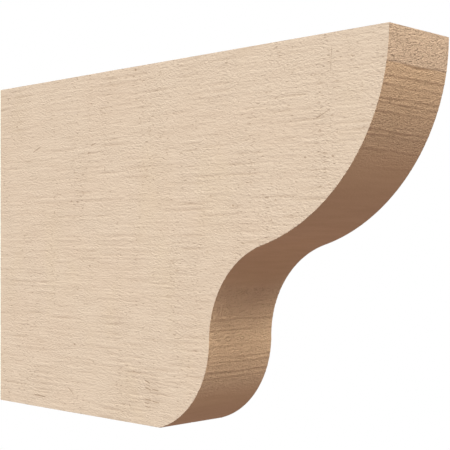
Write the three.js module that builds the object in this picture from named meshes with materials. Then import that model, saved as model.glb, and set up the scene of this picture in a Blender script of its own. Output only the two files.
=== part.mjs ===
// A rafter tail: the shaped end of a roof timber that shows below the eaves.
//
// It is one solid block in millimetres, with +Z up. +X runs from the square back face towards the
// tip, and Y is the thickness. The origin is at the middle of the base, in the plane of the underside.

import * as THREE from 'three';

// Driving dimensions

const flatLength = 304.8;
const curveLength = 304.8;
const tailHeight = 406.4;
const tailThickness = 101.6;
const coveRadius = 105.83;
const footRadius = 105.83;

// How finely each arc is drawn

const arcDivisions = 24;

// Surface of the rough-sawn timber

const timberColour = 0xddc7b0;
const timberRoughness = 0.85;

const tailLength = flatLength + curveLength;

// The curve is three arcs, each tangent to the next: a round nose below the tip, a hollow cove and a
// round foot. The nose leaves the tip upright, the cove turns the curve upright again above the foot,
// and the foot meets the underside at a corner, so all three turn through the same angle.
// An arc of radius R that turns through an angle a from upright drops R sin(a) and runs R (1 - cos(a)).
// The three drops make up the height and the three runs make up the curve's length, which gives
// tan(a / 2) = curveLength / tailHeight and a sum of the radii of tailHeight / sin(a).

const arcTurn = 2 * Math.atan(curveLength / tailHeight);
const noseRadius = tailHeight / Math.sin(arcTurn) - coveRadius - footRadius;

// Side outline, drawn from the bottom of the back face, with x towards the tip and y up

function tailOutline() {
  const noseCentreX = tailLength - noseRadius;
  const coveCentreX = noseCentreX + (noseRadius + coveRadius) * Math.cos(arcTurn);
  const uprightY = footRadius * Math.sin(arcTurn);
  const footCentreX = coveCentreX - coveRadius - footRadius;

  const outline = new THREE.Shape();
  outline.moveTo(0, 0);
  outline.lineTo(0, tailHeight);
  outline.lineTo(tailLength, tailHeight);
  outline.absarc(noseCentreX, tailHeight, noseRadius, 0, -arcTurn, true);
  outline.absarc(coveCentreX, uprightY, coveRadius, Math.PI - arcTurn, Math.PI, false);
  outline.absarc(footCentreX, uprightY, footRadius, 0, -arcTurn, true);
  outline.closePath();
  return outline;
}

// The outline carried straight through the thickness

function makeTail() {
  const geometry = new THREE.ExtrudeGeometry(tailOutline(), {
    depth: tailThickness,
    steps: 1,
    curveSegments: arcDivisions,
    bevelEnabled: false,
  });
  const material = new THREE.MeshStandardMaterial({
    color: timberColour,
    roughness: timberRoughness,
    metalness: 0,
  });
  const tail = new THREE.Mesh(geometry, material);
  tail.name = 'rafter_tail';
  // Stands the outline upright, with the thickness centred on the origin
  tail.rotation.x = Math.PI / 2;
  tail.position.set(-tailLength / 2, tailThickness / 2, 0);
  return tail;
}

const part = new THREE.Group();
part.add(makeTail());

export default part;
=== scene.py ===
"""A rough-sawn rafter tail: its sawn timber surface, the finish of each face, and the stage it stands on."""

import math

import bpy
import numpy as np
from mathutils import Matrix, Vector


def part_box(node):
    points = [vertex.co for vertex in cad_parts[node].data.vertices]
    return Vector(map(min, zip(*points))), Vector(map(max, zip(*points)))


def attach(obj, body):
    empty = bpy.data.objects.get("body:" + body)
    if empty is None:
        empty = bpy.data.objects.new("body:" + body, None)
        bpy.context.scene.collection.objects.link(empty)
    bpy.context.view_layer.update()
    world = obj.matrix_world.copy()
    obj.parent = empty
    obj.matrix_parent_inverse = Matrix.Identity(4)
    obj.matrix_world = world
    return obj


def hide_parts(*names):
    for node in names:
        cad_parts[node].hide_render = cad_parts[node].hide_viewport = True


bl_info = {
    "name": "Rough-sawn Rafter Tail",
    "version": (1, 0, 0),
    "blender": (4, 5, 0),
    "location": "View3D > Sidebar > Rafter Tail",
    "description": "Builds a rafter tail with saw marks, pits and grain, and the stage it stands on",
    "category": "Add Mesh",
}

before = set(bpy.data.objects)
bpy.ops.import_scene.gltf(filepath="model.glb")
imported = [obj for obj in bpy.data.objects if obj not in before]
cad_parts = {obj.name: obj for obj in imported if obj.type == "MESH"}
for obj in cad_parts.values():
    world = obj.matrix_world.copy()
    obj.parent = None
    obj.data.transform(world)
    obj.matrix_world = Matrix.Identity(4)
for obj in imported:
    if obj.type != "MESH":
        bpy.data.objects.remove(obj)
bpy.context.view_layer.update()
TAIL_NODE = "rafter_tail"
TAIL_LOW, TAIL_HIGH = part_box(TAIL_NODE)
TAIL_SIZE = TAIL_HIGH - TAIL_LOW

MM = 0.001
PHOTO_WIDTH = 450.0
SENSOR_WIDTH = 36.0
NOISE_CELLS = 256

# Lines that follow each edge, in arris radii from it, and where the even spacing of the face begins.
RIM = np.array([0.0, 0.33, 0.67, 1.0, 1.7])
RIM_WIDTH = 2.5

# Saw ledges on the curved front: millimetres below the top edge, and how strong each one is.
LEDGES = (
    (35, 1.5), (48, 0.8), (56, 0.7), (68, 0.6), (73, 0.9), (82, 0.6),
    (100, 1.1), (105, 0.5), (120, 0.9), (138, 1.2), (372, 0.6), (387, 1.0),
    (400, 1.2), (415, 0.8), (428, 0.9), (434, 0.6), (446, 1.3), (453, 0.8),
)
LEDGE_WIDTH = 1.1 * MM

# Knots on the curved front: distance from its middle, distance below the top edge, and half the length.
KNOTS = ((-21 * MM, 408 * MM, 4.2 * MM), (2 * MM, 408 * MM, 3.0 * MM))

# Upright scores on the near half of the curved front: the first and last distance below the top edge.
SCORES = (366 * MM, 400 * MM)

# Scratches on the near side: distance from the back, height, turn in degrees, half length, half width
# and how dark each is.
SCRATCHES = (
    (543 * MM, 381 * MM, 86, 14 * MM, 0.5 * MM, 0.35), (533 * MM, 329 * MM, 25, 12 * MM, 0.7 * MM, 0.40),
    (79 * MM, 323 * MM, 21, 10 * MM, 0.8 * MM, 0.45), (189 * MM, 322 * MM, 14, 6 * MM, 0.7 * MM, 0.45),
    (85 * MM, 14 * MM, -3, 14 * MM, 0.8 * MM, 0.50), (146 * MM, 27 * MM, -30, 7 * MM, 0.7 * MM, 0.50),
    (284 * MM, 49 * MM, -17, 5 * MM, 0.65 * MM, 0.58), (285 * MM, 41.5 * MM, -9, 5.5 * MM, 0.65 * MM, 0.62),
    (297 * MM, 41 * MM, -6, 6 * MM, 0.6 * MM, 0.52), (285 * MM, 29 * MM, -7, 6 * MM, 0.65 * MM, 0.62),
    (283 * MM, 25 * MM, -6, 4.5 * MM, 0.6 * MM, 0.52), (298 * MM, 27.5 * MM, -3, 6 * MM, 0.6 * MM, 0.52),
    (285 * MM, 45 * MM, -10, 4 * MM, 0.6 * MM, 0.45), (284 * MM, 21 * MM, -12, 4 * MM, 0.6 * MM, 0.45),
)

# Torn patches on the near side: distance from the back, height, half width, half height and strength.
TORN_PATCHES = (
    (292 * MM, 36 * MM, 14 * MM, 24 * MM, 0.8), (262 * MM, 40 * MM, 52 * MM, 36 * MM, 0.4),
    (93 * MM, 30 * MM, 12 * MM, 26 * MM, 0.3), (384 * MM, 336 * MM, 20 * MM, 10 * MM, 0.2),
    (238 * MM, 102 * MM, 16 * MM, 18 * MM, 0.3),
)

# How much deeper the saw ripples are in a torn patch, as a share of their depth.
TORN_DEEPER = 1.8

# How far the far side's and the underside's surface places are moved on, so that their marks differ.
FAR_SHIFT = 1.0

# One random seed for the relief of each face.
NEAR_SEED, FAR_SEED, BACK_SEED, TOP_SEED, BASE_SEED, FRONT_SEED = 11, 31, 51, 71, 91, 111

# How far the relief of the far side, and of the top and the underside, is moved along its noise, in metres.
FAR_START = 0.37
LEVEL_START = 0.2

# How deep the relief of the back, and of the top and the underside, is, as a share of a side face's.
BACK_RELIEF = 0.6
LEVEL_RELIEF = 0.4

# Points that round to one place in steps of this length are joined.
WELD = 0.001 * MM

# Sizes of the noises in the materials: along the face and across it, in metres.
LONG_RIPPLE = (0.0120, 0.0025)
SHORT_RIPPLE = (0.0038, 0.0018)
RIPPLE_PATCH = (0.022, 0.090)
FINE_FIBRE = (0.0017, 0.0013)
BROAD_FIBRE = (0.050, 0.0060)
DASH = (0.0056, 0.0020)
DASH_COLUMN = (0.024, 0.160)
PIT_CELL = (0.034, 0.021)
CRUMB = (0.0036, 0.0012)
NICK = (0.0028, 0.0011)
PINK_PATCH = (0.110, 0.070)
YELLOW_PATCH = (0.060, 0.130)
RING_BEND = (0.055, 0.055)
SCORE = (0.0019, 0.030)
SCRATCH_BEND = (0.010, 0.010)

# What the pink and the yellow patches multiply the timber's colour by.
PINK = (0.996, 0.975, 0.965, 1)
YELLOW = (0.992, 0.991, 0.950, 1)

# The heart of the growth rings: how far aside of the middle of the back face and below the underside it lies.
HEART_ASIDE = 0.018
HEART_BELOW = 0.085

# How far the pit colour shows through in the pits and the dashes, partly as painted shade, in torn patches
# and in the dark fibre, and how far the paler timber shows on the arrises, as wear and as a painted
# highlight.
PIT_DARKNESS = 0.46
DASH_DARKNESS = 0.34
TORN_DARKNESS = 0.10
FIBRE_DARKNESS = 0.10
WEAR_AND_HIGHLIGHT_PALENESS = 0.15

# Heights of the fine marks in the bump, where the fibre's is 1.
RIPPLE_HEIGHT = 1.8
SUNK_HEIGHT = -0.8
CRUMB_HEIGHT = 2.7
KNOT_HEIGHT = 1.1
SCORE_HEIGHT = 1.6

# How far the floor reaches from the middle of the stage, in metres.
FLOOR_REACH = 12.0

# Each light's azimuth from square on to the near side, its elevation and its breadth, in degrees.
LIGHTS = {"side_light": (20, 30, 30), "tip_light": (100, 52, 45), "back_light": (222, 8, 60)}


class TailSizes(bpy.types.PropertyGroup):
    """The side outline, the arrises and how finely the surface is drawn."""

    length: bpy.props.FloatProperty(
        name="Length", description="From the back face to the tip",
        default=TAIL_SIZE.x, min=0.1, unit="LENGTH")
    height: bpy.props.FloatProperty(
        name="Height", description="From the underside to the top face",
        default=TAIL_SIZE.z, min=0.1, unit="LENGTH")
    thickness: bpy.props.FloatProperty(
        name="Thickness", description="From one side face to the other",
        default=TAIL_SIZE.y, min=0.02, unit="LENGTH")
    flat_length: bpy.props.FloatProperty(
        name="Flat underside", description="From the back face to the foot of the curve",
        default=TAIL_SIZE.x / 2, min=0.05, unit="LENGTH")
    cove_radius: bpy.props.FloatProperty(
        name="Cove radius", description="Radius of the hollow between the nose and the foot",
        default=105.83 * MM, min=0.01, unit="LENGTH")
    foot_radius: bpy.props.FloatProperty(
        name="Foot radius", description="Radius of the round above the underside",
        default=105.83 * MM, min=0.01, unit="LENGTH")
    arris: bpy.props.FloatProperty(
        name="Arris radius", description="How far the sharp edges are eased",
        default=0.35 * MM, min=0.1 * MM, unit="LENGTH")
    rows: bpy.props.IntProperty(
        name="Rows", description="Mesh rows up the height, close enough to carry the saw marks",
        default=445, min=40)
    columns: bpy.props.IntProperty(
        name="Columns", description="Mesh columns along the side faces", default=58, min=8)
    slices: bpy.props.IntProperty(
        name="Slices", description="Mesh columns through the thickness", default=24, min=4)


class SawMarks(bpy.types.PropertyGroup):
    """The relief that the saw left."""

    pitch: bpy.props.FloatProperty(
        name="Pitch", description="From one saw ripple to the next on the side faces",
        default=6.3 * MM, min=1 * MM, unit="LENGTH")
    depth: bpy.props.FloatProperty(
        name="Depth", description="Depth of the saw ripples on the side faces",
        default=0.37 * MM, min=0, unit="LENGTH")
    wander: bpy.props.FloatProperty(
        name="Wander", description="How far a ripple strays up and down, in pitches", default=0.18, min=0)
    length: bpy.props.FloatProperty(
        name="Ripple length", description="How far a ripple runs before it fades into the next",
        default=20 * MM, min=2 * MM, unit="LENGTH")
    curve_depth: bpy.props.FloatProperty(
        name="Curve depth", description="Depth of the streaks across the curved front",
        default=0.45 * MM, min=0, unit="LENGTH")
    waviness: bpy.props.FloatProperty(
        name="Waviness", description="Slow unevenness of every sawn face",
        default=0.12 * MM, min=0, unit="LENGTH")
    lip: bpy.props.FloatProperty(
        name="Torn lip", description="Height of the torn band at the top of the curved front",
        default=35 * MM, min=0, unit="LENGTH")


class TimberColours(bpy.types.PropertyGroup):
    """The colours of the bare timber, in linear values."""

    side: bpy.props.FloatVectorProperty(
        name="Side grain", description="Colour of the side faces",
        default=(0.779, 0.643, 0.487), size=3, subtype="COLOR", min=0, max=1)
    curve: bpy.props.FloatVectorProperty(
        name="Cut curve", description="Colour of the front, where the saw crossed the grain",
        default=(0.714, 0.475, 0.267), size=3, subtype="COLOR", min=0, max=1)
    lip: bpy.props.FloatVectorProperty(
        name="Torn lip", description="Colour of the torn band at the top of the curved front",
        default=(0.850, 0.614, 0.404), size=3, subtype="COLOR", min=0, max=1)
    edge: bpy.props.FloatVectorProperty(
        name="Top and underside", description="Colour of the top face and the underside",
        default=(0.680, 0.565, 0.430), size=3, subtype="COLOR", min=0, max=1)
    # Dark torn fibre and grain, which also stands in as painted shade in the grooves, pits, dashes and
    # between the lip's crumbs.
    shadow: bpy.props.FloatVectorProperty(
        name="Pits", description="Colour at the bottom of pits and torn grain",
        default=(0.250, 0.125, 0.045), size=3, subtype="COLOR", min=0, max=1)


class StageLook(bpy.types.PropertyGroup):
    """The camera and the lights."""

    focal_pixels: bpy.props.FloatProperty(
        name="Focal length", description="Focal length in pixels of the photograph",
        default=1076.2, min=100)
    axis_x: bpy.props.FloatProperty(
        name="Axis across", description="Where the camera's axis meets the photograph, from its left edge",
        default=192.1)
    axis_y: bpy.props.FloatProperty(
        name="Axis down", description="Where the camera's axis meets the photograph, from its top edge",
        default=244.95)
    distance: bpy.props.FloatProperty(
        name="Distance", description="From the camera to the middle of the tail",
        default=1.2315, min=0.2, unit="LENGTH")
    azimuth: bpy.props.FloatProperty(
        name="Azimuth", description="Turn of the camera round the tail, from square on to the side face",
        default=math.radians(45), subtype="ANGLE", unit="ROTATION")
    side_light: bpy.props.FloatProperty(
        name="Side light", description="Strength of the light on the near side face", default=2.84, min=0)
    tip_light: bpy.props.FloatProperty(
        name="Tip light", description="Strength of the high light on the curved front", default=2.10, min=0)
    back_light: bpy.props.FloatProperty(
        name="Back light", description="Strength of the light on the back and the far side",
        default=2.3, min=0)
    room: bpy.props.FloatVectorProperty(
        name="Room light", description="Even light from above the floor",
        default=(0.153, 0.153, 0.153), size=3, subtype="COLOR", min=0)
    ground: bpy.props.FloatVectorProperty(
        name="Ground light", description="Warm light that comes back up from the floor",
        default=(0.368, 0.296, 0.305), size=3, subtype="COLOR", min=0)


def eased(t):
    """3t^2 - 2t^3, which leaves 0 and reaches 1 without a slope."""
    return t * t * (3 - 2 * t)


def noise_cell(along, across):
    """The table columns and rows on both sides of each place, and how far into its cell it lies each way."""
    column, row = np.floor(along).astype(int), np.floor(across).astype(int)
    columns = column % NOISE_CELLS, (column + 1) % NOISE_CELLS
    rows = row % NOISE_CELLS, (row + 1) % NOISE_CELLS
    return columns, rows, along - column, across - row


def eased_noise(along, across, seed):
    """Random heights from 0 to 1 on whole-number crossings, eased between them by 3t^2 - 2t^3 each way."""
    table = np.random.default_rng(seed).random((NOISE_CELLS, NOISE_CELLS))
    (left, right), (low, high), a, b = noise_cell(along, across)
    a, b = eased(a), eased(b)
    bottom = table[left, low] * (1 - a) + table[right, low] * a
    top = table[left, high] * (1 - a) + table[right, high] * a
    return bottom * (1 - b) + top * b


def ease(value, start, end):
    """0 before start, 1 after end, and 3t^2 - 2t^3 between them."""
    return eased(np.clip((value - start) / (end - start), 0, 1))


def front_curve(height, sizes):
    """The front curve at each height: its x, its outward normal in x and z, and its length from the foot.

    Three tangent arcs turn through one angle a, with tan(a / 2) = curve length / height. The foot and the
    nose bulge, so x is their centre plus the square root of R^2 - dz^2, and the cove is hollow, so x is its
    centre minus that root. The length along an arc is its radius times the angle whose sine is dz / R.
    """
    turn = 2 * math.atan((sizes.length - sizes.flat_length) / sizes.height)
    foot, cove = sizes.foot_radius, sizes.cove_radius
    nose = sizes.height / math.sin(turn) - foot - cove
    upright = foot * math.sin(turn)
    bend = upright + cove * math.sin(turn)
    nose_x = sizes.length - nose
    cove_x = nose_x + (nose + cove) * math.cos(turn)
    foot_x = cove_x - cove - foot
    arcs = [height < upright, height < bend, height >= bend]
    radius = np.select(arcs, [foot, cove, nose])
    middle_x = np.select(arcs, [foot_x, cove_x, nose_x])
    middle_z = np.select(arcs, [upright, upright, sizes.height])
    bulge = np.select(arcs, [1.0, -1.0, 1.0])
    rise = height - middle_z
    reach = np.sqrt(np.maximum(radius**2 - rise**2, 0))
    angle = np.arcsin(np.clip(rise / radius, -1, 1))
    start = np.select(arcs, [foot * turn, foot * turn, (foot + cove + nose) * turn])
    return middle_x + bulge * reach, reach / radius, bulge * rise / radius, start + radius * angle


def ruled_lines(span, count, arris):
    """Places from 0 to span: even steps, with closer lines at both ends where the arris rounds over."""
    rim, inner = arris * RIM, arris * RIM_WIDTH
    return np.concatenate([rim, np.linspace(inner, span - inner, count + 1), span - rim[::-1]])


def side_lines(edge, slope, count, arris):
    """The places across a side face in each row, from the back face to the curve, closer at both ends."""
    rim, inner = arris * RIM, arris * RIM_WIDTH
    share = np.linspace(0, 1, count + 1)
    last = edge[:, None] - inner / slope[:, None]
    back = np.broadcast_to(rim, (len(edge), len(rim)))
    middle = inner + (last - inner) * share
    front = edge[:, None] - rim[::-1] / slope[:, None]
    return np.concatenate([back, middle, front], axis=1)


def grid_faces(rows, columns, turned):
    """The four corners of each cell of a grid, numbered row by row, and reversed where it faces away."""
    corner = (np.arange(rows - 1)[:, None] * columns + np.arange(columns - 1)).ravel()
    cells = np.stack([corner, corner + 1, corner + columns + 1, corner + columns], axis=1)
    return cells[:, ::-1] if turned else cells


def tail_patches(sizes):
    """The six faces of the tail with sharp arrises, each a grid of points with surface places in metres.

    The side faces are ruled from the back face to the curve in level rows. The back face and the curved
    front carry the same rows through the thickness, and the top and the underside the same columns.
    """
    heights = ruled_lines(sizes.height, sizes.rows, sizes.arris)
    through = ruled_lines(sizes.thickness, sizes.slices, sizes.arris) - sizes.thickness / 2
    edge, slope, _, run = front_curve(heights, sizes)
    along = side_lines(edge, slope, sizes.columns, sizes.arris)
    level = np.broadcast_to(heights[:, None], along.shape)
    patches = []
    for side, turned, shift in ((-sizes.thickness / 2, False, 0.0), (sizes.thickness / 2, True, FAR_SHIFT)):
        grid = np.stack([along, np.full_like(along, side), level], -1)
        patches.append(("side", grid, (along + shift, level), turned))
    across, rise = np.meshgrid(through, heights)
    front = np.broadcast_to(edge[:, None], across.shape)
    travel = np.broadcast_to(run[:, None], across.shape)
    patches.append(("front", np.stack([front, across, rise], -1), (across, travel), False))
    patches.append(("back", np.stack([np.zeros_like(across), across, rise], -1), (across, rise), True))
    for row, floor, turned, shift in ((0, 0.0, True, FAR_SHIFT), (-1, sizes.height, False, 0.0)):
        reach, depth = np.meshgrid(along[row], through)
        grid = np.stack([reach, depth, np.full_like(reach, floor)], -1)
        patches.append(("edge", grid, (reach + shift, depth), turned))
    return patches


def ridge_noise(along, across, seed):
    """Ridges that run along a face, from about -1 to 1.

    Each whole-number crossing holds a random slope across the face. The line through each crossing with
    that slope is blended with its neighbours' by 3t^2 - 2t^3, along the face and across it.
    """
    table = np.random.default_rng(seed).uniform(-1, 1, (NOISE_CELLS, NOISE_CELLS))
    (left, right), (low, high), a, b = noise_cell(along, across)
    a, blend = eased(a), eased(b)
    below = (table[left, low] * (1 - a) + table[right, low] * a) * b
    above = (table[left, high] * (1 - a) + table[right, high] * a) * (b - 1)
    return 3 * (below * (1 - blend) + above * blend)


def saw_ripples(along, across, marks, seed):
    """Height of the ripples that run along a face, from about -1 to 1.

    Long ridges one pitch apart, which a noise breaks into dashes, with shorter and closer ones gathered in
    columns across the face. One slow noise bends them up and down, and another makes them strong in some
    patches and faint in others.
    """
    stray = eased_noise(along / 0.080, across / 0.040, seed + 1)
    level = across / (0.56 * marks.pitch) + marks.wander * stray / 0.56
    long_ones = ridge_noise(along / (2.2 * marks.length), level, seed)
    broken = 0.35 + 1.40 * eased_noise(along / (0.45 * marks.length), across / (0.8 * marks.pitch), seed + 6)
    short_ones = ridge_noise(along / (0.25 * marks.length), 1.45 * level + 40, seed + 3)
    gathered = ease(eased_noise(along / 0.019, across / 0.150, seed + 4), 0.35, 0.80)
    patchy = 0.50 + 0.85 * eased_noise(along / 0.034, across / 0.028, seed + 5)
    return patchy * (broken * long_ones + (0.10 + 0.65 * gathered) * short_ones)


def torn_grain(along, across, seed):
    """Short deep dashes, from 0 to 1: a noise stretched along the face, kept only where it is highest."""
    dash = eased_noise(along / 0.010, across / 0.0034, seed)
    column = eased_noise(along / 0.021, across / 0.25, seed + 1)
    return ease(dash, 0.86, 1.0) * ease(column, 0.55, 0.85)


def torn_share(along, height):
    """How torn the near side is, from 0 to 1: an oval round each place listed, which fades at its rim."""
    total = np.zeros_like(along)
    for middle, level, half_width, half_height, strength in TORN_PATCHES:
        far = np.hypot((along - middle) / half_width, (height - level) / half_height)
        total = np.maximum(total, strength * (1 - ease(far, 0.6, 1.2)))
    return total


def side_depth(along, across, marks, seed):
    """Depth of the relief of a face sawn along the grain, in metres."""
    slow = eased_noise(along / 0.16, across / 0.09, seed + 7)
    ripples = np.clip(0.5 - 0.5 * saw_ripples(along, across, marks, seed), 0, 1.4)
    return marks.depth * (ripples + 0.8 * torn_grain(along, across, seed + 8)) + marks.waviness * slow


def front_roughness(rise, run, top, marks):
    """How rough the front is, 1 where it stands upright and little where it faces down, and its lip."""
    upright = ease(rise, -0.66, -0.46)
    lip = ease(run - (top - marks.lip), -1.0 * MM, 1.0 * MM)
    return 0.07 + 0.93 * upright, lip


def ledges(across, run, top, seed):
    """Saw ledges across the front, each a low ridge above a groove.

    The height is -t e^(1/2 - t^2 / 2), where t is the distance from the ledge's line in ledge widths. One
    noise along each ledge bends the line, and another makes the ledge stronger and weaker.
    """
    total = np.zeros_like(run)
    for number, (below, force) in enumerate(LEDGES):
        bend = 2.4 * MM * (eased_noise(across / 0.040, run * 0 + number, seed) - 0.5)
        fade = 0.35 + 0.90 * eased_noise(across / 0.033, run * 0 + number, seed + 1)
        t = (run - (top - below * MM) + bend) / LEDGE_WIDTH
        total -= force * fade * t * np.exp(0.5 - 0.5 * t * t)
    return total


def front_depth(across, run, rise, top, marks, seed):
    """Depth of the relief of the curved front, in metres: streaks across it that fade where it faces down."""
    rough, lip = front_roughness(rise, run, top, marks)
    level = run + 0.020 * across + 0.6 * MM * eased_noise(across / 0.050, run / 0.015, seed)
    streaks = ridge_noise(across / 0.085, level / (3.4 * MM), seed + 1)
    fine = ridge_noise(across / 0.022, level / (2.0 * MM), seed + 3)
    torn = ridge_noise((across + run) / 0.009, (run - 0.30 * across) / (2.2 * MM), seed + 4)
    sawn = 0.36 * streaks + 0.26 * fine
    wave = (1 - lip) * sawn + lip * 0.5 * torn - 1.4 * ledges(across, run, top, seed + 6)
    slow = eased_noise(across / 0.060, run / 0.070, seed + 5)
    return marks.curve_depth * np.clip(0.5 - 0.5 * rough * wave, 0, 1.6) + marks.waviness * slow


def shape_tail(points, sizes, marks):
    """Rounds the arrises and sinks the saw marks into the sharp tail, and never moves a point outwards.

    Every face within the arris radius of a point pushes it in until it is that far inside, and the point
    then goes back out by the radius in the opposite direction, which leaves a round arris. Each face that
    a point lies on then sinks it by the depth of that face's relief.
    """
    x, y, z = points.T
    edge, slope, rise, run = front_curve(np.clip(z, 0, sizes.height), sizes)
    top = front_curve(np.array([sizes.height]), sizes)[3]
    side = np.where(y < 0, -1.0, 1.0)
    zero, one = np.zeros_like(x), np.ones_like(x)
    to_front, to_base = (edge - x) * slope, z
    nearer_base = to_base <= to_front
    far = np.full_like(x, sizes.height)
    torn = np.where(y < 0, torn_share(x, z), 0.0)
    near_depth = side_depth(x, z, marks, NEAR_SEED) * (1 + TORN_DEEPER * torn)
    far_depth = side_depth(x + FAR_START, z, marks, FAR_SEED)
    back_depth = side_depth(z, y, marks, BACK_SEED) * BACK_RELIEF
    top_depth = side_depth(x, y + LEVEL_START, marks, TOP_SEED) * LEVEL_RELIEF
    base_depth = side_depth(x, y - LEVEL_START, marks, BASE_SEED) * LEVEL_RELIEF
    faces = [
        (sizes.thickness / 2 - np.abs(y), np.stack([zero, side, zero], 1),
         np.where(y < 0, near_depth, far_depth)),
        (x, np.stack([-one, zero, zero], 1), back_depth),
        (sizes.height - z, np.stack([zero, zero, one], 1), top_depth),
        (np.where(nearer_base, to_base, far), np.stack([zero, zero, -one], 1), base_depth),
        (np.where(nearer_base, far, to_front), np.stack([slope, zero, rise], 1),
         front_depth(y, run, rise, top, marks, FRONT_SEED)),
    ]
    inside = points.copy()
    for distance, normal, _ in faces:
        inside -= normal * np.maximum(sizes.arris - distance, 0)[:, None]
    out = points - inside
    length = np.linalg.norm(out, axis=1, keepdims=True)
    shaped = inside + sizes.arris * out / length
    hollow = np.zeros_like(x)
    for distance, normal, depth in faces:
        share = np.clip(1 - distance / sizes.arris, 0, 1)
        shaped -= normal * (share * depth)[:, None]
        hollow = np.maximum(hollow, share * depth)
    second = np.sort(np.stack([distance for distance, _, _ in faces]), axis=0)[1]
    # Paler along the arrises: partly wear and partly a painted highlight along the edges.
    worn = 1 - ease(second, 0, 2.2 * sizes.arris)
    rough, lip = front_roughness(rise, run, top, marks)
    on_front = to_front <= sizes.arris
    # hollow is the depth of the relief; the materials darken the timber by it as painted shade in the
    # grooves.
    masks = {
        "hollow": hollow / (1.2 * marks.depth + marks.waviness) / (1 + TORN_DEEPER * torn),
        "worn": worn,
        "rough": np.where(on_front, rough, 1.0),
        "lip": np.where(on_front, lip, 0.0),
        "torn": torn,
    }
    return shaped, masks


def build_tail_mesh(sizes, marks):
    """One closed mesh of the tail: the six faces joined along their edges, then rounded and marked."""
    patches = tail_patches(sizes)
    slots = {"side": 0, "front": 1, "edge": 2, "back": 3}
    points, faces, places, slot_of = [], [], [], []
    count = 0
    for name, grid, place, turned in patches:
        rows, columns = grid.shape[:2]
        cells = grid_faces(rows, columns, turned)
        points.append(grid.reshape(-1, 3))
        places.append(np.stack([place[0].ravel(), place[1].ravel()], axis=1))
        faces.append(cells + count)
        slot_of.append(np.full(len(cells), slots[name]))
        count += rows * columns
    points, faces, places = np.concatenate(points), np.concatenate(faces), np.concatenate(places)
    _, first, joined = np.unique(np.round(points / WELD).astype(np.int64), axis=0,
                                 return_index=True, return_inverse=True)
    joined = joined.reshape(-1)
    shaped, masks = shape_tail(points[first], sizes, marks)
    shaped += np.array([TAIL_LOW.x, (TAIL_LOW.y + TAIL_HIGH.y) / 2, TAIL_LOW.z])

    mesh = bpy.data.meshes.new("sawn_tail")
    mesh.from_pydata(shaped, [], joined[faces])
    mesh.polygons.foreach_set("material_index", np.concatenate(slot_of).astype(np.int32))
    mesh.polygons.foreach_set("use_smooth", np.ones(len(faces), bool))
    mesh.uv_layers.new(name="surface_metres").data.foreach_set("uv", places[faces.ravel()].ravel())
    for name, values in masks.items():
        mesh.attributes.new(name, "FLOAT", "POINT").data.foreach_set("value", values.astype(np.float32))
    if mesh.validate():
        raise RuntimeError("the tail's mesh had faces that aren't valid")
    mesh.update()
    return mesh


def new_group(name, inputs, outputs):
    """An empty shader node group with named number, vector and colour sockets."""
    kinds = {"value": "NodeSocketFloat", "vector": "NodeSocketVector", "colour": "NodeSocketColor"}
    group = bpy.data.node_groups.new(name, "ShaderNodeTree")
    for socket, kind, default in inputs:
        made = group.interface.new_socket(name=socket, in_out="INPUT", socket_type=kinds[kind])
        if default is not None:
            made.default_value = default
    for socket, kind in outputs:
        group.interface.new_socket(name=socket, in_out="OUTPUT", socket_type=kinds[kind])
    source = group.nodes.new("NodeGroupInput")
    result = group.nodes.new("NodeGroupOutput")
    return group, source, result


def plug(tree, node, socket, value):
    """Joins a socket to value, or sets it where value is a plain number, vector or colour."""
    target = node.inputs[socket]
    if isinstance(value, bpy.types.NodeSocket):
        tree.links.new(value, target)
    else:
        target.default_value = value


def maths(tree, operation, first, second=0.0, third=0.0):
    """A Math node's result."""
    node = tree.nodes.new("ShaderNodeMath")
    node.operation = operation
    for place, value in enumerate((first, second, third)):
        plug(tree, node, place, value)
    return node.outputs[0]


def ramp_between(tree, value, low, high, bottom=0.0, top=1.0):
    """Value carried smoothly from the range low to high into the range bottom to top."""
    node = tree.nodes.new("ShaderNodeMapRange")
    node.interpolation_type = "SMOOTHSTEP"
    ends = {"Value": value, "From Min": low, "From Max": high, "To Min": bottom, "To Max": top}
    for name, number in ends.items():
        plug(tree, node, name, number)
    return node.outputs["Result"]


def mixed(tree, share, first, second, blend="MIX"):
    """Two colours mixed by share."""
    node = tree.nodes.new("ShaderNodeMix")
    node.data_type = "RGBA"
    node.blend_type = blend
    plug(tree, node, 0, share)
    plug(tree, node, 6, first)
    plug(tree, node, 7, second)
    return node.outputs[2]


def mixed_value(tree, share, first, second):
    """Two numbers mixed by share."""
    node = tree.nodes.new("ShaderNodeMix")
    plug(tree, node, 0, share)
    plug(tree, node, 2, first)
    plug(tree, node, 3, second)
    return node.outputs[0]


def stretched(tree, place, seed, along, across, slant=0.0):
    """A place on the surface divided by two lengths, so that noise of scale 1 has features of that size.

    Slant is how far the features rise for each metre along the face.
    """
    split = tree.nodes.new("ShaderNodeSeparateXYZ")
    plug(tree, split, 0, place)
    join = tree.nodes.new("ShaderNodeCombineXYZ")
    level = split.outputs[1]
    if slant:
        level = maths(tree, "MULTIPLY_ADD", split.outputs[0], -slant, level)
    plug(tree, join, 0, maths(tree, "MULTIPLY", split.outputs[0], 1 / along))
    plug(tree, join, 1, maths(tree, "MULTIPLY", level, 1 / across))
    plug(tree, join, 2, seed)
    return join.outputs[0]


def noise(tree, place, detail=2.0, roughness=0.5):
    """A Noise node of scale 1 at a place, from 0 to 1."""
    node = tree.nodes.new("ShaderNodeTexNoise")
    plug(tree, node, "Vector", place)
    plug(tree, node, "Scale", 1.0)
    plug(tree, node, "Detail", detail)
    plug(tree, node, "Roughness", roughness)
    return node.outputs["Fac"]


def moved(tree, seed, step):
    """The seed moved on by a step, so that one more noise in a group differs from the others."""
    return maths(tree, "ADD", seed, step)


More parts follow.
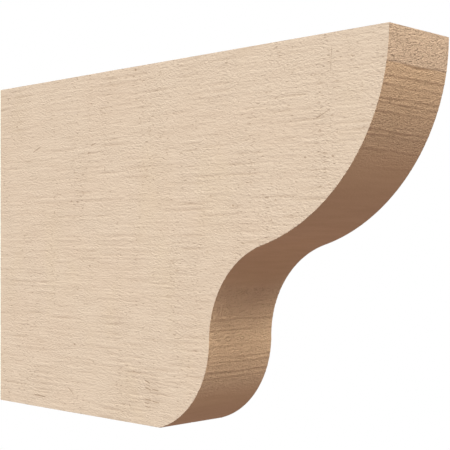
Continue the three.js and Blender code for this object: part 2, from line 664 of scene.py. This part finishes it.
def saw_group():
    """Fine ripples between the modelled ones: noise drawn out along the face and patched by another."""
    group, source, result = new_group(
        "Saw ripples",
        [("Place", "vector", None), ("Seed", "value", 0.0)],
        [("Height", "value")])
    place, seed = source.outputs["Place"], source.outputs["Seed"]
    long_ones = noise(group, stretched(group, place, seed, *LONG_RIPPLE), detail=1.0)
    short_ones = noise(group, stretched(group, place, moved(group, seed, 4.2), *SHORT_RIPPLE), detail=1.0)
    patch = noise(group, stretched(group, place, moved(group, seed, 7.3), *RIPPLE_PATCH))
    both = mixed_value(group, ramp_between(group, patch, 0.30, 0.56), long_ones, short_ones)
    plug(group, result, "Height", both)
    return group


def fibre_group():
    """Wood fibre: fine noise drawn out along the face, as a height and as a tone from 0 to 1."""
    group, source, result = new_group(
        "Wood fibre",
        [("Place", "vector", None), ("Seed", "value", 0.0)],
        [("Height", "value"), ("Tone", "value")])
    place, seed = source.outputs["Place"], source.outputs["Seed"]
    fine = noise(group, stretched(group, place, seed, *FINE_FIBRE), detail=2.0, roughness=0.55)
    broad = noise(group, stretched(group, place, moved(group, seed, 3.1), *BROAD_FIBRE), detail=2.0)
    tone = maths(group, "MULTIPLY_ADD", fine, 0.45, maths(group, "MULTIPLY", broad, 0.55))
    plug(group, result, "Height", fine)
    plug(group, result, "Tone", tone)
    return group


def pit_group():
    """Short torn dashes, which gather in columns across the face, and a few pits, 1 at the middle of each."""
    group, source, result = new_group(
        "Pits",
        [("Place", "vector", None), ("Seed", "value", 0.0), ("Amount", "value", 0.0)],
        [("Dash", "value"), ("Pit", "value")])
    place, seed = source.outputs["Place"], source.outputs["Seed"]
    dash = noise(group, stretched(group, place, seed, *DASH), detail=1.0)
    column = noise(group, stretched(group, place, moved(group, seed, 5.7), *DASH_COLUMN), detail=1.0)
    gathered = ramp_between(group, column, 0.42, 0.66)
    level = maths(group, "SUBTRACT", 0.715, source.outputs["Amount"])
    level = maths(group, "MULTIPLY_ADD", gathered, -0.07, level)
    over = maths(group, "SUBTRACT", dash, level)
    plug(group, result, "Dash", ramp_between(group, over, 0.0, 0.08))
    cells = group.nodes.new("ShaderNodeTexVoronoi")
    plug(group, cells, "Vector", stretched(group, place, moved(group, seed, 2.3), *PIT_CELL))
    plug(group, cells, "Scale", 1.0)
    plug(group, result, "Pit", ramp_between(group, cells.outputs["Distance"], 0.07, 0.025))
    return group


def torn_group():
    """Torn end fibres at the lip: slanting crumbs with pits between them, as a height from 0 to 1."""
    group, source, result = new_group(
        "Torn lip",
        [("Place", "vector", None), ("Seed", "value", 0.0)],
        [("Height", "value")])
    place, seed = source.outputs["Place"], source.outputs["Seed"]
    crumbs = noise(group, stretched(group, place, seed, *CRUMB, slant=0.30), detail=2.5, roughness=0.65)
    nicks = noise(group, stretched(group, place, moved(group, seed, 6.4), *NICK, slant=0.2), detail=1.0)
    bitten = ramp_between(group, nicks, 0.56, 0.72, 0.0, 0.45)
    plug(group, result, "Height", maths(group, "SUBTRACT", crumbs, bitten))
    return group


def blotch_group():
    """Slow shifts of the timber's colour towards pink and towards yellow."""
    group, source, result = new_group(
        "Colour blotches",
        [("Place", "vector", None), ("Seed", "value", 0.0),
         ("Colour", "colour", None), ("Amount", "value", 0.5)],
        [("Colour", "colour")])
    place, seed, amount = source.outputs["Place"], source.outputs["Seed"], source.outputs["Amount"]
    pink = noise(group, stretched(group, place, seed, *PINK_PATCH))
    yellow = noise(group, stretched(group, place, moved(group, seed, 9.1), *YELLOW_PATCH))
    pinkness = maths(group, "MULTIPLY", ramp_between(group, pink, 0.40, 0.66), amount)
    yellowness = maths(group, "MULTIPLY", ramp_between(group, yellow, 0.50, 0.74), amount)
    first = mixed(group, pinkness, source.outputs["Colour"], PINK, "MULTIPLY")
    plug(group, result, "Colour", mixed(group, yellowness, first, YELLOW, "MULTIPLY"))
    return group


def ring_group():
    """Growth rings of the end grain: noise-bent circles about a heart that lies below the timber."""
    group, source, result = new_group(
        "Growth rings",
        [("Place", "vector", None), ("Ring width", "value", 0.0042)],
        [("Ring", "value")])
    split = group.nodes.new("ShaderNodeSeparateXYZ")
    plug(group, split, 0, source.outputs["Place"])
    sideways = maths(group, "POWER", maths(group, "ADD", split.outputs[0], HEART_ASIDE), 2.0)
    upwards = maths(group, "POWER", maths(group, "ADD", split.outputs[1], HEART_BELOW), 2.0)
    radius = maths(group, "SQRT", maths(group, "ADD", sideways, upwards))
    bend = noise(group, stretched(group, source.outputs["Place"], 4.0, *RING_BEND))
    bent = maths(group, "MULTIPLY_ADD", bend, 0.014, radius)
    share = maths(group, "FRACT", maths(group, "DIVIDE", bent, source.outputs["Ring width"]))
    darkens = ramp_between(group, share, 0.35, 0.86)
    ends = ramp_between(group, share, 1.0, 0.90)
    plug(group, result, "Ring", maths(group, "MULTIPLY", darkens, ends))
    return group


def knot_group(top):
    """Oval rings of the small knots on the front, and the upright scores above them, as a height."""
    group, source, result = new_group("Knots and scores", [("Place", "vector", None)], [("Height", "value")])
    place = source.outputs["Place"]
    split = group.nodes.new("ShaderNodeSeparateXYZ")
    plug(group, split, 0, place)
    across, run = split.outputs[0], split.outputs[1]
    total = 0.0
    for sideways, below, half in KNOTS:
        level = maths(group, "DIVIDE", maths(group, "SUBTRACT", run, top - below), 0.55 * half)
        reach = maths(group, "DIVIDE", maths(group, "SUBTRACT", across, sideways), half)
        square = maths(group, "MULTIPLY_ADD", level, level, maths(group, "MULTIPLY", reach, reach))
        gap = maths(group, "ABSOLUTE", maths(group, "SUBTRACT", maths(group, "SQRT", square), 1.0))
        total = maths(group, "MULTIPLY_ADD", ramp_between(group, gap, 0.6, 0.0), KNOT_HEIGHT, total)
    first, last = SCORES
    lines = noise(group, stretched(group, place, 3.0, *SCORE), detail=1.0)
    upper = ramp_between(group, run, top - first, top - first - 8 * MM)
    lower = ramp_between(group, run, top - last, top - last + 6 * MM)
    near = ramp_between(group, across, 2 * MM, -8 * MM)
    where = maths(group, "MULTIPLY", maths(group, "MULTIPLY", upper, lower), near)
    scores = maths(group, "MULTIPLY", maths(group, "SUBTRACT", lines, 0.5), where)
    plug(group, result, "Height", maths(group, "MULTIPLY_ADD", scores, SCORE_HEIGHT, total))
    return group


def scratch_group():
    """One scratch, from 0 at its rim to 1 in the middle, bent by a noise."""
    group, source, result = new_group(
        "Scratch",
        [(socket, "vector", None) for socket in ("Place", "Middle", "Turn", "Size")],
        [("Mark", "value")])
    place = source.outputs["Place"]
    local = group.nodes.new("ShaderNodeMapping")
    local.vector_type = "TEXTURE"
    plug(group, local, "Vector", place)
    for socket, name in (("Location", "Middle"), ("Rotation", "Turn"), ("Scale", "Size")):
        plug(group, local, socket, source.outputs[name])
    split = group.nodes.new("ShaderNodeSeparateXYZ")
    plug(group, split, 0, local.outputs[0])
    bend = maths(group, "SUBTRACT", noise(group, stretched(group, place, 6.0, *SCRATCH_BEND)), 0.5)
    level = maths(group, "ABSOLUTE", maths(group, "MULTIPLY_ADD", bend, 0.8, split.outputs[1]))
    reach = maths(group, "ABSOLUTE", split.outputs[0])
    middle = ramp_between(group, level, 1.3, 0.2)
    ends = ramp_between(group, reach, 1.0, 0.6)
    plug(group, result, "Mark", maths(group, "MULTIPLY", middle, ends))
    return group


def timber_material(name, colour, shadow, groups, seed, pit_amount, bump_depth,
                    groove=0.20, rings=0.0, lip=None, scratches=()):
    """Bare sawn timber: blotched colour, darker in torn patches and dark fibre, painted shade in the grooves
    and partly in the pits, dashes and scratches, painted light where the curved front stands upright, and
    paler arrises from wear and a painted highlight.
    """
    material = bpy.data.materials.new(name)
    material.use_nodes = True
    tree = material.node_tree
    tree.nodes.clear()
    output = tree.nodes.new("ShaderNodeOutputMaterial")
    shader = tree.nodes.new("ShaderNodeBsdfPrincipled")
    tree.links.new(shader.outputs[0], output.inputs[0])
    surface = tree.nodes.new("ShaderNodeUVMap")
    surface.uv_map = "surface_metres"
    place = surface.outputs[0]

    def effect(key, **values):
        node = tree.nodes.new("ShaderNodeGroup")
        node.node_tree = groups[key]
        for socket, value in values.items():
            plug(tree, node, socket, value)
        return node

    def painted(attribute):
        node = tree.nodes.new("ShaderNodeAttribute")
        node.attribute_name = attribute
        return node.outputs["Fac"]

    ripples = effect("saw", Place=place, Seed=seed).outputs["Height"]
    fibre = effect("fibre", Place=place, Seed=seed + 1.7)
    amount = maths(tree, "MULTIPLY_ADD", painted("torn"), 0.03, pit_amount) if scratches else pit_amount
    pits = effect("pits", Place=place, Seed=seed + 2.9, Amount=amount)
    dash, pit = pits.outputs["Dash"], pits.outputs["Pit"]
    blotches = effect("blotches", Place=place, Seed=seed + 4.4, Colour=(*colour, 1), Amount=0.45)
    base = blotches.outputs["Colour"]
    rough = painted("rough")
    # The pit colour: dark grain, and painted shade where the marks below use it.
    dark = (*shadow, 1)
    # A paler copy of the colour for the arrises: wear and a painted highlight.
    light = (*(min(1.0, channel * 1.12) for channel in colour), 1)

    fibre_dark = ramp_between(tree, fibre.outputs["Tone"], 0.35, 0.65, 0.0, FIBRE_DARKNESS)
    toned = mixed(tree, fibre_dark, base, dark)
    if scratches:
        toned = mixed(tree, maths(tree, "MULTIPLY", painted("torn"), TORN_DARKNESS), toned, dark)
    # Painted shade: darker where the relief sinks deepest, in its grooves, by up to groove of the pit colour.
    painted_groove_shade = maths(tree, "MULTIPLY", ramp_between(tree, painted("hollow"), 0.45, 1.0, 0.0, groove), rough)
    marked = mixed(tree, painted_groove_shade, toned, dark)
    if rings:
        ring = effect("rings", Place=place).outputs["Ring"]
        marked = mixed(tree, maths(tree, "MULTIPLY", ring, rings), marked, dark)
    # Pits, dashes and scratches take the pit colour: partly dark torn fibre, partly painted shade in these
    # hollows.
    sunk = maths(tree, "MULTIPLY_ADD", pit, PIT_DARKNESS, maths(tree, "MULTIPLY", dash, DASH_DARKNESS))
    for along, level, turn, half_length, half_width, darkness in scratches:
        mark = effect("scratch", Place=place, Middle=(along, level, 0), Turn=(0, 0, math.radians(turn)),
                      Size=(half_length, half_width, 1)).outputs["Mark"]
        sunk = maths(tree, "MAXIMUM", sunk, maths(tree, "MULTIPLY", mark, darkness))
    pitted = mixed(tree, maths(tree, "MULTIPLY", sunk, rough), marked, dark)
    height = maths(tree, "MULTIPLY_ADD", ripples, RIPPLE_HEIGHT, fibre.outputs["Height"])
    height = maths(tree, "MULTIPLY_ADD", sunk, SUNK_HEIGHT, height)
    if lip:
        torn = effect("torn", Place=place, Seed=seed + 8.2).outputs["Height"]
        at_lip = painted("lip")
        crumbs = maths(tree, "MULTIPLY_ADD", at_lip, 0.5, maths(tree, "MULTIPLY", rough, 0.5))
        # Painted light: where the curved front stands upright it is made paler with the lip colour, against
        # the shade of its relief; the lip band itself is the timber's own lighter colour.
        pale = maths(tree, "MAXIMUM", at_lip, maths(tree, "MULTIPLY", rough, 0.26))
        pitted = mixed(tree, pale, pitted, (*lip, 1))
        # Painted shade: the torn lip is darker where it lies low, between the crumbs.
        bitten = maths(tree, "MULTIPLY", crumbs, ramp_between(tree, torn, 0.38, 0.12, 0.0, 0.30))
        pitted = mixed(tree, bitten, pitted, dark)
        height = mixed_value(tree, crumbs, height, maths(tree, "MULTIPLY", torn, CRUMB_HEIGHT))
        height = maths(tree, "ADD", height, effect("knots", Place=place).outputs["Height"])
    # Painted highlight and wear: the arrises take the paler copy.
    arris_wear_and_highlight = maths(tree, "MULTIPLY", painted("worn"), WEAR_AND_HIGHLIGHT_PALENESS)
    plug(tree, shader, "Base Color", mixed(tree, arris_wear_and_highlight, pitted, light))
    plug(tree, shader, "Roughness", ramp_between(tree, fibre.outputs["Tone"], 0.3, 0.7, 0.80, 0.94))
    plug(tree, shader, "Specular IOR Level", 0.25)

    bump = tree.nodes.new("ShaderNodeBump")
    plug(tree, bump, "Strength", 1.0)
    plug(tree, bump, "Distance", bump_depth)
    plug(tree, bump, "Height", maths(tree, "MULTIPLY", height, rough))
    plug(tree, shader, "Normal", bump.outputs[0])
    return material


def white_to_camera(tree, output_kind, shader_kind, colour):
    """Fills a node tree so that it looks white to the camera and gives even light of a colour."""
    tree.nodes.clear()
    output = tree.nodes.new(output_kind)
    mix = tree.nodes.new("ShaderNodeMixShader")
    path = tree.nodes.new("ShaderNodeLightPath")
    tree.links.new(path.outputs["Is Camera Ray"], mix.inputs[0])
    for place, shade in ((1, colour), (2, (1, 1, 1))):
        source = tree.nodes.new(shader_kind)
        plug(tree, source, "Color", (*shade, 1))
        plug(tree, source, "Strength", 1.0)
        tree.links.new(source.outputs[0], mix.inputs[place])
    tree.links.new(mix.outputs[0], output.inputs[0])


def white_stage_material(ground):
    """The floor: white to the camera, with a warm even light that comes back up from it."""
    material = bpy.data.materials.new("pale_floor")
    material.use_nodes = True
    white_to_camera(material.node_tree, "ShaderNodeOutputMaterial", "ShaderNodeEmission", ground)
    return material


def make_world(room_colour):
    """White behind the tail, and an even soft light from all round."""
    world = bpy.data.worlds.new("studio")
    world.use_nodes = True
    white_to_camera(world.node_tree, "ShaderNodeOutputWorld", "ShaderNodeBackground", room_colour)
    bpy.context.scene.world = world


def direction_from(azimuth, elevation):
    """Unit vector towards a point of the sky: azimuth 0 faces the near side, and 90 degrees the tip."""
    level = math.cos(elevation)
    return Vector((level * math.sin(azimuth), -level * math.cos(azimuth), math.sin(elevation)))


def soft_light(name, azimuth, elevation, breadth, strength):
    """A broad distant light of even strength all over the tail."""
    data = bpy.data.lights.new(name, "SUN")
    data.energy = strength
    data.angle = math.radians(breadth)
    light = bpy.data.objects.new(name, data)
    bpy.context.scene.collection.objects.link(light)
    light.rotation_mode = "QUATERNION"
    toward = direction_from(math.radians(azimuth), math.radians(elevation))
    light.rotation_quaternion = toward.to_track_quat("Z", "Y")


class RAFTER_OT_saw_tail(bpy.types.Operator):
    """Build the rafter tail from its sizes, saw marks and colours"""

    bl_idname = "rafter.saw_tail"
    bl_label = "Saw the tail"
    bl_options = {"REGISTER", "UNDO"}

    def execute(self, context):
        scene = context.scene
        mesh = build_tail_mesh(scene.tail_sizes, scene.tail_marks)
        colours = scene.tail_colours
        top = float(front_curve(np.array([scene.tail_sizes.height]), scene.tail_sizes)[3][0])
        groups = {"saw": saw_group(), "fibre": fibre_group(), "pits": pit_group(), "torn": torn_group(),
                  "blotches": blotch_group(), "rings": ring_group(), "knots": knot_group(top),
                  "scratch": scratch_group()}
        shadow = tuple(colours.shadow)
        side, curve, edge = tuple(colours.side), tuple(colours.curve), tuple(colours.edge)
        lip = tuple(colours.lip)
        for material in (
            timber_material("side_grain", side, shadow, groups, seed=0.0, pit_amount=0.03,
                            bump_depth=0.60 * MM, scratches=SCRATCHES),
            timber_material("cut_curve", curve, shadow, groups, seed=20.0, pit_amount=0.01,
                            bump_depth=0.95 * MM, groove=0.06, lip=lip),
            timber_material("edge_grain", edge, shadow, groups, seed=40.0, pit_amount=0.02,
                            bump_depth=0.4 * MM),
            timber_material("end_grain", curve, shadow, groups, seed=60.0, pit_amount=0.03,
                            bump_depth=0.5 * MM, rings=0.35),
        ):
            mesh.materials.append(material)
        tail = bpy.data.objects.new("sawn_tail", mesh)
        scene.collection.objects.link(tail)
        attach(tail, "root")
        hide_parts(TAIL_NODE)
        return {"FINISHED"}


class RAFTER_OT_set_stage(bpy.types.Operator):
    """Set the floor, the lights and the camera"""

    bl_idname = "rafter.set_stage"
    bl_label = "Set the stage"
    bl_options = {"REGISTER", "UNDO"}

    def execute(self, context):
        scene = context.scene
        look = scene.tail_stage
        middle = (TAIL_LOW + TAIL_HIGH) / 2
        make_world(tuple(look.room))
        scene.view_settings.view_transform = "Standard"

        half = FLOOR_REACH
        floor_mesh = bpy.data.meshes.new("floor")
        floor_mesh.from_pydata([(-half, -half, TAIL_LOW.z), (half, -half, TAIL_LOW.z),
                                (half, half, TAIL_LOW.z), (-half, half, TAIL_LOW.z)], [], [(0, 1, 2, 3)])
        floor_mesh.materials.append(white_stage_material(tuple(look.ground)))
        floor = bpy.data.objects.new("floor", floor_mesh)
        scene.collection.objects.link(floor)

        for name, (azimuth, elevation, breadth) in LIGHTS.items():
            soft_light(name, azimuth, elevation, breadth, getattr(look, name))

        camera_data = bpy.data.cameras.new("camera")
        camera_data.sensor_width = SENSOR_WIDTH
        camera_data.lens = look.focal_pixels / PHOTO_WIDTH * SENSOR_WIDTH
        camera_data.shift_x = 0.5 - look.axis_x / PHOTO_WIDTH
        camera_data.shift_y = look.axis_y / PHOTO_WIDTH - 0.5
        camera = bpy.data.objects.new("camera", camera_data)
        scene.collection.objects.link(camera)
        back = Vector((math.sin(look.azimuth), -math.cos(look.azimuth), 0))
        camera.location = middle + back * look.distance
        camera.rotation_mode = "QUATERNION"
        camera.rotation_quaternion = back.to_track_quat("Z", "Y")
        scene.camera = camera
        return {"FINISHED"}


class RAFTER_PT_panel(bpy.types.Panel):
    """Lists the sizes, the colours and the steps"""

    bl_label = "Rafter Tail"
    bl_idname = "RAFTER_PT_panel"
    bl_space_type = "VIEW_3D"
    bl_region_type = "UI"
    bl_category = "Rafter Tail"

    def draw(self, context):
        for name in SETTINGS:
            settings = getattr(context.scene, name)
            box = self.layout.box()
            for field in settings.__annotations__:
                box.prop(settings, field)
        for operator in (RAFTER_OT_saw_tail, RAFTER_OT_set_stage):
            self.layout.operator(operator.bl_idname)


SETTINGS = {
    "tail_sizes": TailSizes,
    "tail_marks": SawMarks,
    "tail_colours": TimberColours,
    "tail_stage": StageLook,
}
CLASSES = (*SETTINGS.values(), RAFTER_OT_saw_tail, RAFTER_OT_set_stage, RAFTER_PT_panel)


def register():
    """Adds the classes and their settings."""
    for cls in CLASSES:
        bpy.utils.register_class(cls)
    for name, cls in SETTINGS.items():
        setattr(bpy.types.Scene, name, bpy.props.PointerProperty(type=cls))


def unregister():
    """Removes the settings and the classes."""
    for name in SETTINGS:
        delattr(bpy.types.Scene, name)
    for cls in reversed(CLASSES):
        bpy.utils.unregister_class(cls)


def main():
    """Builds the tail and the stage."""
    register()
    bpy.ops.rafter.saw_tail()
    bpy.ops.rafter.set_stage()


if __name__ == "__main__":
    main()
